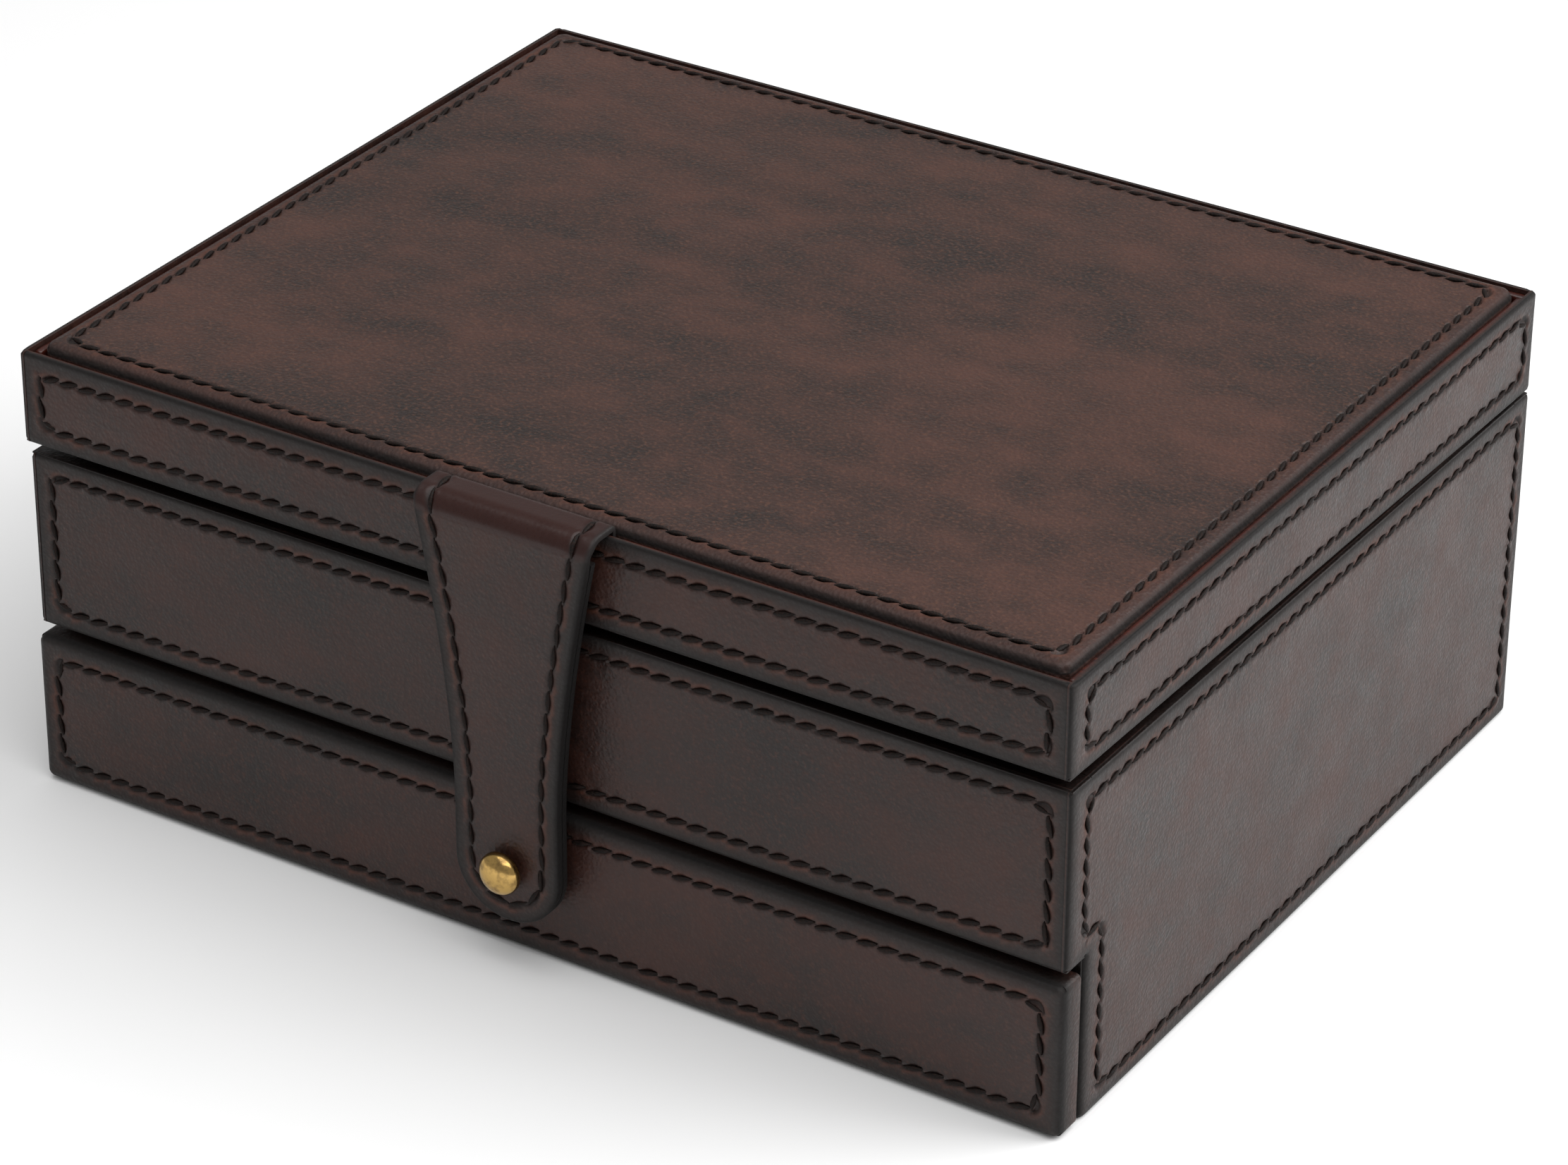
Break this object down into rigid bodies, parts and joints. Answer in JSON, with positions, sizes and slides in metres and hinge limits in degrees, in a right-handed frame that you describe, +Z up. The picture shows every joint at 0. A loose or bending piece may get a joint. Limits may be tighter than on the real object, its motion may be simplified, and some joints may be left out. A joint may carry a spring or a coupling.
{
  "type": "jewellery case",
  "caption": "Leather-covered jewellery case with a hinged lid over a divided upper compartment, a full-width drawer below, and a tapered strap that buttons onto a brass stud.",
  "frame": {"origin": "middle of the underside of the closed case", "axes": "+X across the case to the right seen from the front, +Z up, the drawer and strap face -Y"},
  "size_m": [0.26, 0.2172, 0.1091],
  "materials": {
    "cover_leather": "waxed dark brown, stitched, semi-matt",
    "top_leather": "waxed dark brown with reddish mottling, semi-matt",
    "fold_leather": "burnished oxblood where it bends",
    "board": "thin fibreboard, unseen inside the covers",
    "suede": "tan suede-cloth lining",
    "ring_suede": "padded tan suede-cloth rolls",
    "brass": "polished, slightly tarnished"
  },
  "bodies": {
    "carcass": {"side_leather_left": "cover_leather", "side_leather_right": "cover_leather", "side_board_left": "board", "side_board_right": "board", "neck_liner_left": "cover_leather", "neck_liner_right": "cover_leather", "base_leather": "cover_leather", "base_board": "board", "back_board": "board", "back_leather": "cover_leather", "drawer_bay_shelf": "board", "middle_front_board": "board", "middle_front_leather": "cover_leather", "neck_liner_front": "cover_leather", "back_liner": "suede", "compartment_floor": "suede", "long_divider": "suede", "left_cross_divider": "suede", "right_cross_divider": "suede", "short_divider": "suede", "ring_bed": "suede", "ring_roll_1": "ring_suede", "ring_roll_2": "ring_suede", "ring_roll_3": "ring_suede", "ring_roll_4": "ring_suede", "ring_roll_5": "ring_suede", "hinge_spine": "cover_leather", "hinge_inner_strip": "suede"},
    "lid": {"lid_leather_left": "cover_leather", "lid_leather_right": "cover_leather", "lid_leather_front": "cover_leather", "lid_leather_back": "cover_leather", "lid_board_left": "board", "lid_board_right": "board", "lid_board_front": "board", "lid_board_back": "board", "lid_lining": "suede", "lid_top_board": "board", "lid_top_leather": "top_leather", "strap_fold": "fold_leather"},
    "strap": {"strap_lining": "cover_leather", "strap_leather": "cover_leather"},
    "drawer": {"drawer_front_leather": "cover_leather", "drawer_front_board": "board", "drawer_side_left": "suede", "drawer_side_right": "suede", "drawer_inner_front": "suede", "drawer_back": "suede", "drawer_bottom": "board", "drawer_floor_lining": "suede", "drawer_divider_left": "suede", "drawer_divider_right": "suede", "strap_stud": "brass", "stud_nut": "brass"}
  },
  "joints": [
    {"name": "lid_hinge", "type": "hinge", "parent": "carcass", "child": "lid", "pos_m": [0, 0.1019, 0.0823], "axis": [-1, 0, 0], "range_deg": [0, 105], "deforming": ["hinge_spine", "hinge_inner_strip"]},
    {"name": "drawer_slide", "type": "slide", "parent": "carcass", "child": "drawer", "axis": [0, -1, 0], "range_m": [0, 0.115]},
    {"name": "strap_swing", "type": "hinge", "parent": "lid", "child": "strap", "pos_m": [0, -0.105, 0.1046], "axis": [-1, 0, 0], "range_deg": [0, 120], "deforming": ["strap_fold"]}
  ],
  "couplings": [
    {"joint": "strap_swing", "follows": "drawer_slide", "rad_per_m": 18}
  ]
}
